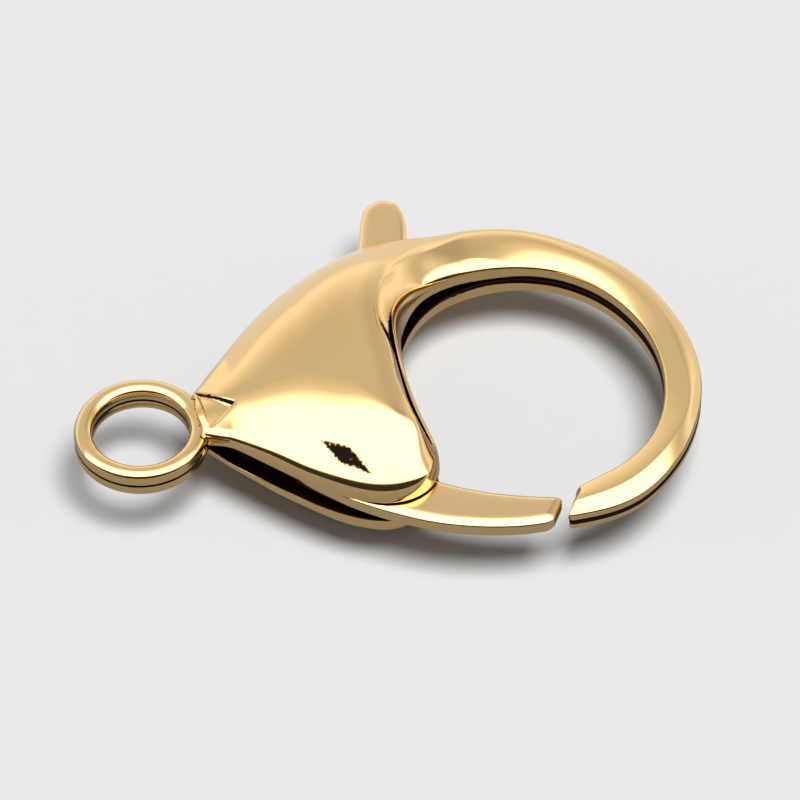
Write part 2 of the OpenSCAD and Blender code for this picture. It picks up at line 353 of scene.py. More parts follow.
SHADE_AND_REFLECTION_COLOUR = (0.012, 0.005, 0.004)
shell_gold = metal("pale_gold_plate", (0.95, 0.66, 0.31), (0.93, 0.62, 0.27), SHADE_AND_REFLECTION_COLOUR, 0.07, 0.02 * MM)
lever_gold = metal("lever_gold_plate", (0.95, 0.67, 0.34), (0.93, 0.63, 0.30), SHADE_AND_REFLECTION_COLOUR, 0.09, 0.02 * MM)
pin_steel = metal("turned_steel", (0.60, 0.60, 0.62), (0.50, 0.50, 0.52), SHADE_AND_REFLECTION_COLOUR, 0.25, 0.01 * MM)
print("metals:", shell_gold.name, lever_gold.name, pin_steel.name)

# %% [markdown]
# ## The outline of a shell
# A pressed shell is a curved strip: it leaves the eyelet, swells to the body, and runs on as the hook.
# So its outline is a table of sections across that strip. Each has a point on the outer rim, one on
# the inner rim, and one on the spine between them, where the crown is highest. These are the sizes
# of the shell, in millimetres for a clasp 25.7 long, and PLAN brings them to 26.

# %% Shell sections
PLAN = 26 / 25.7
SHELL = [
    (2.30, 1.35, 2.35, -0.95, 2.32, 0.15), (2.90, 1.92, 2.95, -1.40, 2.95, 0.25),
    (3.75, 2.74, 3.75, -2.10, 3.80, 0.35), (4.80, 3.90, 4.75, -3.10, 4.90, 0.40),
    (6.02, 5.08, 5.95, -4.25, 6.10, 0.42), (7.20, 5.95, 7.15, -5.20, 7.25, 0.40),
    (8.20, 6.56, 8.25, -5.80, 8.25, 0.40), (8.90, 6.92, 9.25, -6.05, 8.95, 0.50),
    (9.50, 7.20, 10.25, -5.92, 9.42, 0.65), (10.00, 7.38, 11.05, -5.40, 9.72, 0.90),
    (10.45, 7.53, 11.45, -4.55, 9.92, 1.20), (10.90, 7.66, 11.42, -3.40, 10.05, 1.60),
    (11.35, 7.76, 11.18, -1.85, 10.12, 2.10), (11.80, 7.84, 11.05, -0.20, 10.20, 2.70),
    (12.25, 7.88, 11.08, 1.30, 10.40, 3.48), (12.75, 7.90, 11.35, 2.75, 10.92, 4.40),
    (13.30, 7.88, 12.15, 4.12, 11.78, 5.36), (14.00, 7.87, 13.15, 4.95, 12.95, 6.18),
    (14.80, 7.98, 14.40, 5.42, 14.25, 6.80), (16.10, 8.00, 15.90, 5.55, 15.98, 7.02),
    (17.90, 7.52, 17.45, 5.32, 17.72, 6.62), (20.00, 6.12, 18.95, 4.58, 19.45, 5.34),
    (21.77, 4.12, 20.30, 3.22, 21.02, 3.67), (22.84, 1.40, 21.25, 1.15, 22.03, 1.28),
    (23.04, -1.00, 21.47, -0.90, 22.24, -0.95), (22.62, -3.10, 21.10, -2.95, 22.20, -3.06),
    (21.50, -5.28, 20.15, -4.70, 21.03, -5.08), (19.75, -7.10, 18.70, -5.86, 19.32, -6.62),
    (18.00, -7.92, 17.70, -6.24, 17.89, -7.28), (15.97, -8.04, 16.62, -6.70, 16.26, -7.58)]
LAST = len(SHELL) - 1
FINE = 64
SOFTENED = 0.3


def through(table, at):
    """A smooth curve through the rows of a table, at fractional row numbers."""
    rows = np.array(table, float)
    last = len(rows) - 1
    i = np.minimum(np.floor(at).astype(int), last - 1)
    t = (at - i)[:, None]
    a, b, c, d = rows[np.maximum(i - 1, 0)], rows[i], rows[i + 1], rows[np.minimum(i + 2, last)]
    bend, twist = 2 * a - 5 * b + 4 * c - d, 3 * b - a - 3 * c + d
    return 0.5 * (2 * b + (c - a) * t + bend * t ** 2 + twist * t ** 3)


def softened(values, reach):
    """Takes the last kinks out of evenly spaced values, and holds the two ends."""
    flat = values.reshape(len(values), -1)
    width = int(3 * reach)
    weights = np.exp(-0.5 * (np.arange(-width, width + 1) / reach) ** 2)
    weights /= weights.sum()
    before = 2 * flat[0] - flat[width:0:-1]
    after = 2 * flat[-1] - flat[-2:-width - 2:-1]
    padded = np.concatenate([before, flat, after])
    smooth = np.stack([np.convolve(column, weights, "valid") for column in padded.T], axis=1)
    return smooth.reshape(values.shape)


fine_rows = np.linspace(0, LAST, LAST * FINE + 1)
fine_shell = softened(through(SHELL, fine_rows) * PLAN, SOFTENED * FINE)
print("outline points:", fine_shell.shape)

# %% [markdown]
# ## How the height of a shell changes along the strip
# Short tables give one number at some of the sections: how high the crown is, how wide the slot for
# the lever, how wide the bevel at the ring, and so on. They are read between the rows and softened
# in the same way as the outline, so nothing changes with a jerk. The dome itself runs out into the
# hook along the clasp's length and not along the strip, so its fall is a table by the distance from
# the eyelet, and the crown is the lower one of the two.

# %% Profile tables
CROWN_HEIGHT = 3.3
HOOK_HEIGHT = 0.8
RIM = 1.0
SLOT_HALF = 0.53
SEAM_HALF = 0.02
SHEET = 0.6
# How high the crown is: 1 on the dome, 0 at the hook's tip
CROWN = [(0, 0.02), (1, 0.13), (2, 0.34), (3, 0.60), (4, 0.80), (5, 0.92), (6, 0.98), (7, 1), (15.5, 1),
         (17, 0.6), (18, 0.2), (19, 0.13), (20, 0.11), (22, 0.08), (24, 0.05), (26, 0.03), (28, 0.01),
         (29, 0)]
# How far the dome has come down, by the distance from the eyelet along the clasp
DOME_DROP = [(0, 0), (8.6, 0), (9.5, 0.06), (10, 0.16), (10.5, 0.33), (11, 0.56), (11.5, 0.83), (12, 1.1),
             (12.5, 1.35), (13, 1.56), (14, 1.87), (15, 2.06), (17, 2.2), (30, 2.2)]
# How high the walls stand, where the slot is open on each side, and where the sheet is hollow
WALL_OUTER = [(0, 1), (15, 1), (17, 0.85), (19, 0.6), (22, 0.5), (25, 0.42), (29, 0.38)]
WALL_INNER = [(0, 1), (2, 1.05), (3.4, 1.2), (3.8, 1.08), (4.6, 1.2), (8, 1.2), (10, 1), (15, 1), (16, 0.9),
              (17, 0.8), (18, 0.76), (20, 0.72), (24, 0.68), (29, 0.6)]
SLOT_OUTER = [(0.5, 0), (1.6, 1), (15.5, 1), (17.6, 0)]
SLOT_INNER = [(0.5, 0), (1.5, 1), (16.2, 1), (18.8, 0)]
CAVITY = [(1.4, 0), (2, 1), (27.5, 1), (28, 0)]
# How steeply the flanks leave the rims, and how far in they run
OUTER_STEEPNESS = [(0, 2), (3, 2.8), (5, 3.2), (16, 3.2), (20, 2.2), (23, 2), (25, 1.2), (29, 1.2)]
INNER_STEEPNESS = [(0, 2), (3, 2.5), (5, 2.6), (6, 2.4), (7, 2), (8, 1.5), (9, 1.4), (10, 1.6), (11, 2.6),
                   (12, 3.2), (13.4, 3), (14.2, 1.7), (16, 1.5), (18.5, 1.6), (19.5, 1.5), (24, 1.6), (29, 2)]
OUTER_RUN = [(0, 5.3), (29, 5.3)]
INNER_RUN = [(0, 5.3), (6, 5.3), (7, 4), (8, 2.6), (9, 2), (10, 1.3), (11, 1.3), (12, 1.1), (12.5, 0.8),
             (13, 0.5), (13.6, 0.45), (14.1, 0.8), (14.6, 1.5), (15.7, 1.9), (17, 3), (18, 5.3), (29, 5.3)]
# 1 where the two sides meet in one line over the spine, 0 where each takes the short way to it
CROSSING = [(0, 1), (5.5, 1), (7, 0), (18.5, 0), (20, 1), (29, 1)]
# How much the crown falls over the last FALL_RUN before the inner rim: the nose and the lip hang
FALL = [(0, 0), (7, 0), (8.5, 0.3), (9.5, 0.4), (10.5, 0.3), (11.5, 0.1), (12.5, 0), (29, 0)]
FALL_RUN = 3.0
# Width of the bevel inside the inner rim, its share of the rise to the crown, and the groove behind it
BEVEL = [(0, 0.06), (9, 0.1), (11, 0.15), (13.2, 0.16), (13.8, 0.22), (14.2, 0.36), (14.6, 0.42), (15, 0.38),
         (15.5, 0.4), (16, 0.48), (17, 0.5), (18, 0.52), (18.6, 0.58), (19.1, 0.45), (19.5, 0.25), (29, 0.25)]
BEVEL_SHARE = [(0, 0.01), (12, 0.01), (13.3, 0.03), (13.8, 0.2), (14.2, 0.6), (14.6, 0.8), (15, 0.8),
               (15.5, 0.76), (16, 0.7), (17, 0.66), (18, 0.74), (19, 0.84), (29, 0.88)]
GROOVE_WIDTH = [(0, 0), (10.4, 0), (10.9, 0.16), (13.6, 0.16), (14.4, 0.12), (15, 0.05), (15.4, 0), (29, 0)]
GROOVE_DEPTH = [(0, 0), (10.4, 0), (10.9, 0.22), (12.5, 0.25), (14.3, 0.3), (14.9, 0.12), (15.4, 0), (29, 0)]
# Rounding of the sheet's lower edge
EDGE_ROUND = [(0, 0.07), (15.5, 0.07), (18.5, 0.18), (20, 0.26), (29, 0.24)]
# Radius of the roll from the rim's wall to the crown, outside and inside
OUTER_ROLL = [(0, 0.5), (2, 0.9), (4, 1.15), (15, 1.15), (18, 0.5), (20, 0.35), (29, 0.2)]
INNER_ROLL = [(0, 0.5), (2, 0.8), (3.4, 1.1), (9, 1.15), (10.8, 1.1), (11.5, 0.5), (19, 0.3), (24, 0.22),
              (29, 0.18)]
# Share of the bevelled profile in the inner side: the front of the body and the hook have the plain roll
BEVELLED = [(0, 0), (10.3, 0), (10.8, 1), (18.6, 1), (19.6, 0), (29, 0)]
# Where shade is painted into the groove
SHADE_IN_GROOVE = [(0, 0), (10.4, 0), (10.9, 1), (14.5, 1), (15.1, 0), (29, 0)]

SAMPLES_PER_ROW = 14
END_ROUNDING = 0.22
# The walls stay under this share of the crown
LOW_WALL = 0.74
END_ROWS, END_SAMPLES = 0.5, 14
end_samples = LAST - END_ROWS * (1 - np.cos(np.linspace(pi / 2, 0, END_SAMPLES)))
even_samples = np.linspace(0, LAST - END_ROWS, int((LAST - END_ROWS) * SAMPLES_PER_ROW) + 1)[:-1]
samples = np.concatenate([even_samples, end_samples])


def along(table):
    xs, ys = np.array(table, float).T
    return np.interp(samples, fine_rows, softened(np.interp(fine_rows, xs, ys), SOFTENED * FINE))


BLEND_HEIGHT = 0.06
DROP_STEPS_PER_MM = 20
DROP_SOFTENED = 0.4
drop_at, drop_by = np.array(DOME_DROP).T
fine_drop_at = np.linspace(0, drop_at[-1], int(drop_at[-1] * DROP_STEPS_PER_MM) + 1)
fine_drop = softened(np.interp(fine_drop_at, drop_at, drop_by), DROP_SOFTENED * DROP_STEPS_PER_MM)
section_crown = HOOK_HEIGHT + (CROWN_HEIGHT - HOOK_HEIGHT) * along(CROWN)


def crest(plan_points):
    """Height of the crown over points of the plan: the lower of the section's crown and the dome, blended."""
    dome_height = CROWN_HEIGHT - np.interp(plan_points[..., 0], fine_drop_at, fine_drop)
    lowest = section_crown.reshape((-1,) + (1,) * (dome_height.ndim - 1))
    return -BLEND_HEIGHT * np.logaddexp(-dome_height / BLEND_HEIGHT, -lowest / BLEND_HEIGHT)


def column(k):
    return np.stack([np.interp(samples, fine_rows, fine_shell[:, k + axis]) for axis in (0, 1)], axis=1)


outer, inner, spine = column(0), column(2), column(4)
crown = crest(spine)
wall_outer = np.minimum(RIM * along(WALL_OUTER), LOW_WALL * crown)
wall_inner = np.minimum(RIM * along(WALL_INNER), LOW_WALL * crown)
foot_outer = SEAM_HALF + (SLOT_HALF - SEAM_HALF) * along(SLOT_OUTER)
foot_inner = SEAM_HALF + (SLOT_HALF - SEAM_HALF) * along(SLOT_INNER)
print("sections:", len(samples), " crown from", round(crown.min(), 2), "to", round(crown.max(), 2), "mm")

# %% [markdown]
# ## One half of a section, from the slot over the rim to the spine
# The sheet's edge is broken, the wall stands upright, a roll turns it into the flank, and the flank
# levels off towards the spine. Along the lip and as far as the start of the hook, the inner side has a
# bevel instead of the roll. All sections are worked out at once, as arrays of points.

# %% Directions at the rims
def inward(k, side):
    slope = np.gradient(fine_shell[:, k:k + 2], axis=0)
    square = side * np.stack([slope[:, 1], -slope[:, 0]], axis=1)
    square = np.stack([np.interp(samples, fine_rows, square[:, axis]) for axis in (0, 1)], axis=1)
    return square / np.linalg.norm(square, axis=1, keepdims=True)


outer_in, inner_in = inward(0, 1), inward(2, -1)
strip_width = np.linalg.norm(outer - inner, axis=1)
strip_across = (outer - inner) / strip_width[:, None]
print("the strip is", round(strip_width.min(), 2), "to", round(strip_width.max(), 2), "mm wide")

# %% Heights, turns and straight runs
def lifted(plan_points, heights):
    heights = np.broadcast_to(heights, plan_points.shape[:-1])
    return np.concatenate([plan_points, heights[..., None]], axis=-1)


def turned(start, corner, end, count):
    """A smooth turn from start to end that is drawn towards a corner. The last point is left out."""
    t = (np.arange(count) / count)[None, :, None]
    start, corner, end = start[:, None], corner[:, None], end[:, None]
    return (1 - t) ** 2 * start + 2 * t * (1 - t) * corner + t ** 2 * end


def straight(start, end, count):
    t = (np.arange(count) / count)[None, :, None]
    return start[:, None] * (1 - t) + end[:, None] * t


def crowded(count, power=2):
    """Shares of a way in from the rim. They start at 0 and lie closer together there."""
    return (np.arange(count) / count) ** power


# %% [markdown]
# ## From the rim to the spine
# Seen from above, a line of points runs from each rim to the spine. The press turns the sheet up
# square to the rim, so the line leaves it square. In the neck and the hook it also meets the line from
# the other side without a kink, because straight lines would leave a ridge there that a mirror finish
# shows. The body is level before the spine, so its lines take the short way. The flank then lifts the
# points: steeply at first, and level at the crown.

# %% Ways in and flanks
# A way in leaves the rim square to it, and bends within about this length
SQUARE_RUN = 1.2
# Keeps the groove's formula defined where there is no groove
LEAST_GROOVE = 0.01


def way_in(rim, square, shares):
    """Plan points from a rim to the spine, how far each is from the rim, and how far the spine is."""
    reach = np.linalg.norm(spine - rim, axis=1)
    side = np.sign((strip_across * (rim - spine)).sum(axis=1))[:, None]
    bend = rim + square * np.minimum(SQUARE_RUN, reach / 2)[:, None] * 2 / 3
    level = spine + side * strip_across * (reach / 3)[:, None]
    direct = spine + (rim + square * np.minimum(SQUARE_RUN, reach / 2)[:, None] - spine) * 2 / 3
    level = direct + (level - direct) * along(CROSSING)[:, None]
    u = shares[None, :, None]
    points = ((1 - u) ** 3 * rim[:, None] + 3 * (1 - u) ** 2 * u * bend[:, None]
              + 3 * (1 - u) * u ** 2 * level[:, None] + u ** 3 * spine[:, None])
    return points, np.linalg.norm(points - rim[:, None], axis=-1), reach


def flank(rim, square, foot, top_over, run, power, shares, roll=None, groove=None, fall=None):
    """The flank. roll turns it from the wall, groove is a slit at its foot, fall lowers it to the rim."""
    points, far, reach = way_in(rim, square, shares)
    run = np.minimum(reach, run)[:, None]
    foot, top, power = foot[:, None], top_over(points), power[:, None]
    if fall is not None:
        top = top - fall[:, None] * np.maximum(1 - far / np.minimum(reach, FALL_RUN)[:, None], 0) ** 2
    climbed = far if groove is None else np.maximum(far - groove[0][:, None], 0)
    height = top - (top - foot) * np.maximum(1 - climbed / run, 0) ** power
    if groove is not None:
        half = np.maximum(groove[0], LEAST_GROOVE)[:, None] / 2
        height -= groove[1][:, None] * np.cos(np.clip((far - half) / half, -1, 1) * pi / 2) ** 2
    if roll is not None:
        roll = roll[:, None]
        steep = power * (top - foot) / run
        lean = np.arctan(steep)
        tangent = roll * np.tan((pi / 2 - lean) / 2)
        arc = foot - tangent + np.sqrt(np.maximum(roll ** 2 - (roll - far) ** 2, 0))
        height = np.where(far < tangent * np.cos(lean), arc + height - foot - steep * far, height)
    return lifted(points, height)


def roll_drop(foot, top, run, power, roll, reach):
    lean = np.arctan(power * (top - foot) / np.minimum(reach, run))
    return roll * np.tan((pi / 2 - lean) / 2)


# %% Profile with a roll
FOOT_POINTS, WALL_POINTS, CORNER_POINTS, BEVEL_POINTS, FLANK_POINTS = 6, 4, 6, 8, 52
LEAST_WALL = 0.08
edge_round = along(EDGE_ROUND)


def rolled_side(rim, square, foot, wall, run, power, roll, fall=None):
    drop = roll_drop(wall, crest(rim), run, power, roll, np.linalg.norm(spine - rim, axis=1))
    wall_top = np.maximum(wall - drop, foot + LEAST_WALL)
    low = lifted(rim, np.minimum(foot + edge_round, (foot + wall_top) / 2))
    edge = turned(lifted(rim + square * edge_round[:, None], foot), lifted(rim, foot), low, FOOT_POINTS)
    upright = straight(low, lifted(rim, wall_top), WALL_POINTS)
    above = flank(rim, square, wall, crest, run, power, crowded(FLANK_POINTS), roll=roll, fall=fall)
    return np.concatenate([edge, upright, above], axis=1)


outer_side = rolled_side(outer, outer_in, foot_outer, wall_outer, along(OUTER_RUN), along(OUTER_STEEPNESS),
                         along(OUTER_ROLL))
print("points on one side of a section:", outer_side.shape[1])

# %% Profile with a bevel
RIM_CORNER, CORNER_OF_BEVEL = 0.09, 0.4
BEVEL_SWELL = 0.35, 0.75
BEHIND = crowded(FLANK_POINTS - CORNER_POINTS - BEVEL_POINTS)


def bevelled_side(rim, square, foot, wall, run, power):
    corner = np.minimum(RIM_CORNER, (wall - foot) / 3)[:, None]
    width = along(BEVEL)[:, None]
    bevel_end = rim + square * width
    rise = ((crest(bevel_end) - wall) * along(BEVEL_SHARE))[:, None]
    crease = wall + rise[:, 0]
    swell = lifted(rim + square * width * BEVEL_SWELL[0], wall + rise[:, 0] * BEVEL_SWELL[1])
    low = lifted(rim, np.minimum(foot + edge_round, (foot + wall) / 2))
    high = lifted(rim, wall) - corner * np.array([0, 0, 1])
    slope = swell - lifted(rim, wall)
    corner_share = np.minimum(corner / np.linalg.norm(slope, axis=1, keepdims=True), CORNER_OF_BEVEL)
    on_bevel = lifted(rim, wall) + slope * corner_share
    edge = turned(lifted(rim + square * edge_round[:, None], foot), lifted(rim, foot), low, FOOT_POINTS)
    turn = turned(high, lifted(rim, wall), on_bevel, CORNER_POINTS)
    bevel = turned(on_bevel, swell, lifted(bevel_end, crease), BEVEL_POINTS)
    groove = along(GROOVE_WIDTH), along(GROOVE_DEPTH)
    behind = flank(bevel_end, square, crease, crest, run, power, BEHIND, groove=groove, fall=along(FALL))
    return np.concatenate([edge, straight(low, high, WALL_POINTS), turn, bevel, behind], axis=1)


inner_run, inner_power = along(INNER_RUN), along(INNER_STEEPNESS)
inner_roll = rolled_side(inner, inner_in, foot_inner, wall_inner, inner_run, inner_power, along(INNER_ROLL),
                         along(FALL))
inner_bevel = bevelled_side(inner, inner_in, foot_inner, wall_inner, inner_run, inner_power)
blend = along(BEVELLED)[:, None, None]
inner_side = (1 - blend) * inner_roll + blend * inner_bevel
print("sections with the bevel:", int((blend > 0.5).sum()), "of", len(samples))

# %% [markdown]
# ## The underside, and the closed section
# The sheet is hollow underneath: the section goes back from the inner rim along the sheet's edge, up
# into the cavity, over to the other side and down. A solidify modifier would give the sheet the same
# thickness everywhere and fold over itself in the narrow hook, so the roof is worked out in its own right.

# %% Closed sections
CAVITY_POINTS = 9
ROOF_STEEPNESS, ROOF_CROWDING = 5.0, 1.5
# The sheet takes at most these shares of the crown's height and of the way to the spine
SHEET_OF_CROWN, SHEET_OF_WAY = 0.4, 0.35
SHEET_OF_BEVEL = 0.3
sheet_here = np.minimum(SHEET, SHEET_OF_CROWN * crown)
outer_width = np.minimum(sheet_here, SHEET_OF_WAY * np.linalg.norm(spine - outer, axis=1))
inner_width = np.minimum(sheet_here, SHEET_OF_WAY * np.linalg.norm(spine - inner, axis=1))
inner_width = inner_width + SHEET_OF_BEVEL * along(BEVEL)
outer_sheet = outer + outer_in * outer_width[:, None]
inner_sheet = inner + inner_in * inner_width[:, None]
spine_foot = (foot_outer + foot_inner) / 2
hollow = np.full(len(samples), ROOF_STEEPNESS)


def roof_over(plan_points):
    shape = (-1,) + (1,) * (plan_points.ndim - 2)
    low, sheet, open_share = (values.reshape(shape) for values in (spine_foot, sheet_here, along(CAVITY)))
    return low + np.maximum(crest(plan_points) - sheet - low, 0) * open_share


roof = roof_over(spine)
shares = crowded(CAVITY_POINTS, ROOF_CROWDING)
under_inner = flank(inner_sheet, inner_in, foot_inner, roof_over, inner_run, hollow, shares)
under_outer = flank(outer_sheet, outer_in, foot_outer, roof_over, along(OUTER_RUN), hollow, shares)
sections = np.concatenate([outer_side, lifted(spine, crown)[:, None], inner_side[:, ::-1],
                           under_inner, lifted(spine, roof)[:, None], under_outer[:, ::-1]], axis=1)
print("points in a section:", sections.shape[1])

# %% [markdown]
# ## The facet at the neck
# The press leaves a small three-cornered facet in the neck, a mark of where the eyelet was drawn out of
# the sheet. It is deepest along its first edge, where it ends in a slit, and comes out level at its last
# corner. A cut with another piece would break up the even rows of the mesh, so the points inside are
# lowered. Their shares of the three corners say how far each lies from every edge.

# %% Pressed facet
FACET = np.array([(2.50, 1.34), (3.92, -0.36), (2.67, -0.95)])
FACET_DEPTH = 0.2
FACET_STEP = 0.1
side_count = outer_side.shape[1]
upper_count = 2 * side_count + 1
upper_plan = sections[:, :upper_count, :2]
first, second, last = FACET
edges_to_last = np.stack([first - last, second - last], axis=1)
of_first, of_second = np.linalg.solve(edges_to_last, (upper_plan - last).reshape(-1, 2).T)
of_corners = np.stack([of_first, of_second, 1 - of_first - of_second])
opposite = np.linalg.norm([second - last, first - last, first - second], axis=1)
from_edges = of_corners * (abs(np.linalg.det(edges_to_last)) / opposite)[:, None]
inside_facet = np.clip(from_edges / FACET_STEP, 0, 1).prod(axis=0)
pressed = FACET_DEPTH * (1 - np.clip(of_corners[2], 0, 1)) * inside_facet
sections[:, :upper_count, 2] -= pressed.reshape(upper_plan.shape[:2])
print("deepest point of the facet (mm):", round(float(pressed.max()), 2))

# %% [markdown]
# ## The tip of the hook
# The strip ends at the gate, and a real hook is tumbled round there. A bevel modifier would meet the long
# faces at odd angles, so the last sections are drawn in along a quarter circle instead. That rounds the
# tip off in plan and in height.

# %% Rounded tip
steps = np.linalg.norm(np.diff(spine, axis=0), axis=1)
to_tip = np.concatenate([np.cumsum(steps[::-1])[::-1], [0]])
pull = np.where(to_tip < END_ROUNDING,
                END_ROUNDING - np.sqrt(np.maximum(END_ROUNDING ** 2 - (END_ROUNDING - to_tip) ** 2, 0)), 0)
middle = (outer + inner) / 2
narrow = (1 - pull / (strip_width / 2))[:, None, None]
low = (1 - pull / (crown - SEAM_HALF))[:, None]
sections[:, :, :2] = middle[:, None] + (sections[:, :, :2] - middle[:, None]) * narrow
sections[:, :, 2] = SEAM_HALF + (sections[:, :, 2] - SEAM_HALF) * low
print("sections drawn in at the tip:", int((pull > 0).sum()))

# %% [markdown]
# ## Where shade and a reflection are painted
# Shade is painted dark into the colour in the seam, on the sheet's edge in the slot, in the groove
# along the lip and inside the hollow. One long dark spot on the front is a painted reflection. Each
# point of a section gets a number from 0 to 1 for it.

# %% Painted shade in the seam, the slot and the groove
# How far the painted shade climbs behind the groove, and how fast it fades there
SHADE_CLIMB, SHADE_THICKNESS = 0.14, 1.6
# How many points of the sheet's lower edge get painted shade in the slot
DARK_FOOT_POINTS = 4


def shaded_groove_side():
    """How much painted shade lies at each point of the bevelled side: in the groove and a little way behind
    it.
    """
    _, far, _ = way_in(inner + inner_in * along(BEVEL)[:, None], inner_in, BEHIND)
    reach = (along(GROOVE_WIDTH) + SHADE_CLIMB)[:, None]
    before = np.zeros((len(samples), FOOT_POINTS + WALL_POINTS + CORNER_POINTS + BEVEL_POINTS))
    behind = along(SHADE_IN_GROOVE)[:, None] * np.clip(SHADE_THICKNESS * (1 - far / reach), 0, 1)
    return np.concatenate([before, behind], axis=1)


under_count = under_inner.shape[1]
# Shade is painted dark into the seam, and in the slot on the sheet's edge
seam_shade = np.zeros((len(samples), side_count))
seam_shade[:, :FOOT_POINTS] = 1
outer_shade = seam_shade * (1 - along(SLOT_OUTER))[:, None]
slot_shade = np.zeros_like(seam_shade)
slot_shade[:, :DARK_FOOT_POINTS] = 1
in_slot = along(SLOT_INNER)[:, None]
inner_shade_and_reflection = np.maximum(seam_shade * (1 - in_slot) + slot_shade * in_slot, shaded_groove_side())
# Shade is painted over the whole inside of the hollow
inside_shade = np.ones((len(samples), 2 * under_count + 1))
print("share of the inner side with paste:", round(float((inner_shade_and_reflection > 0.5).mean()), 2))

# %% The painted dark reflection and the facet's slit
# The spot is a painted dark reflection, a long diamond in the plan, given by its middle and its two half axes
SPOT_AT, SPOT_LONG, SPOT_SHORT = np.array([7.69, -4.42]), np.array([0.83, -0.89]), np.array([0.21, 0.18])
upper_side = inner_side[:, FOOT_POINTS + WALL_POINTS:, :2] - SPOT_AT
SPOT_STRENGTH, SPOT_FADE = 0.78, (0.85, 1.5)
along_axes = np.linalg.solve(np.stack([SPOT_LONG, SPOT_SHORT], axis=1), upper_side.reshape(-1, 2).T)
in_spot = np.abs(along_axes).sum(axis=0)
spot = SPOT_STRENGTH * np.interp(in_spot, SPOT_FADE, [1, 0]).reshape(upper_side.shape[:2])
inner_shade_and_reflection[:, FOOT_POINTS + WALL_POINTS:] = np.maximum(inner_shade_and_reflection[:, FOOT_POINTS + WALL_POINTS:], spot)
on_spine = np.zeros((len(samples), 1))
section_shade_and_reflection = np.concatenate([outer_shade, on_spine, inner_shade_and_reflection[:, ::-1], inside_shade], axis=1)
# The facet's deepest edge is a slit, and shade is painted dark into it
SLIT_WIDTH = 0.1
slit = (pressed > 0) * np.clip(2 - 2 * from_edges[2] / SLIT_WIDTH, 0, 1)
upper_shade_and_reflection = section_shade_and_reflection[:, :upper_count]
section_shade_and_reflection[:, :upper_count] = np.maximum(upper_shade_and_reflection, slit.reshape(upper_shade_and_reflection.shape))
print("share of the points with paste:", round(float((section_shade_and_reflection > 0.5).mean()), 2))

# %% [markdown]
# ## From sections to a piece
# Neighbouring sections are joined with four-sided faces and the two ends are closed with one face
# each. The eyelet's half ring is a lathe piece of the same sort. A boolean union makes them one
# closed shell, and the lower shell is its mirror image.

# %% Mesh helpers
def skin(rings, closed_loop=False):
    count, around = rings.shape[:2]
    faces = []
    for k in range(count if closed_loop else count - 1):
        a, b = k * around, (k + 1) % count * around
        faces += [(a + i, b + i, b + (i + 1) % around, a + (i + 1) % around) for i in range(around)]
    if not closed_loop:
        faces.append(tuple(range(around)))
        faces.append(tuple(reversed(range((count - 1) * around, count * around))))
    return rings.reshape(-1, 3), faces


def piece(name, points, faces, material, painted_shade_and_reflection=None):
    mesh = bpy.data.meshes.new(name)
    mesh.from_pydata((points * MM).tolist(), [], faces)
    amounts = np.zeros(len(points)) if painted_shade_and_reflection is None else painted_shade_and_reflection.reshape(-1)
    # Painted shade and painted reflection, a number for each point
    mesh.attributes.new("painted_shade_and_reflection", "FLOAT", "POINT").data.foreach_set("value", amounts.astype(np.float32))
    work = bmesh.new()
    work.from_mesh(mesh)
    bmesh.ops.recalc_face_normals(work, faces=work.faces)
    work.to_mesh(mesh)
    work.free()
    mesh.materials.append(material)
    made = bpy.data.objects.new(name, mesh)
    bpy.context.scene.collection.objects.link(made)
    return made


def combined(target, other, operation):
    """Applies a boolean between two pieces and removes the second."""
    change = target.modifiers.new("combine", "BOOLEAN")
    change.operation = operation
    change.solver = "EXACT"
    change.object = other
    graph = bpy.context.evaluated_depsgraph_get()
    mesh = bpy.data.meshes.new_from_object(target.evaluated_get(graph))
    target.modifiers.clear()
    target.data = mesh
    bpy.data.objects.remove(other)


def shaded(made, crease_angle=40):
    made.data.shade_smooth()
    made.data.set_sharp_from_angle(angle=radians(crease_angle))


# %% Eyelet ring
EYE_HOLE, EYE_WIDTH, EYE_HEIGHT, EYE_ROUND = 2.0, 0.75, 0.65, 0.34
EYE_TURNS, EYE_ARC_STEPS = 160, 8
# The ring's edges at the seam are broken in two steps
EYE_BREAK, EYE_BREAK_STEP = 0.07, 0.02


def eyelet_profile():
    """The half ring's section: distance from the bore's axis, and height."""
    outside = EYE_HOLE + EYE_WIDTH
    points = [(EYE_HOLE + EYE_BREAK, SEAM_HALF), (outside - EYE_BREAK, SEAM_HALF),
              (outside - EYE_BREAK_STEP, SEAM_HALF + EYE_BREAK_STEP), (outside, SEAM_HALF + EYE_BREAK)]
    for centre, start in ((outside - EYE_ROUND, 0), (EYE_HOLE + EYE_ROUND, pi / 2)):
        for step in range(EYE_ARC_STEPS + 1):
            angle = start + step * pi / 2 / EYE_ARC_STEPS
            points.append((centre + EYE_ROUND * cos(angle), EYE_HEIGHT - EYE_ROUND + EYE_ROUND * sin(angle)))
    points += [(EYE_HOLE, SEAM_HALF + EYE_BREAK), (EYE_HOLE + EYE_BREAK_STEP, SEAM_HALF + EYE_BREAK_STEP)]
    return np.array(points)


profile = eyelet_profile()
turns = np.linspace(0, 2 * pi, EYE_TURNS, endpoint=False)
eyelet_rings = np.stack([np.stack([profile[:, 0] * cos(t), profile[:, 0] * sin(t), profile[:, 1]], axis=1)
                         for t in turns])
eyelet = piece("eyelet_ring", *skin(eyelet_rings, closed_loop=True), shell_gold)
print("eyelet points:", len(eyelet.data.vertices))

# %% Upper and lower shell
NECK_START = 2.3
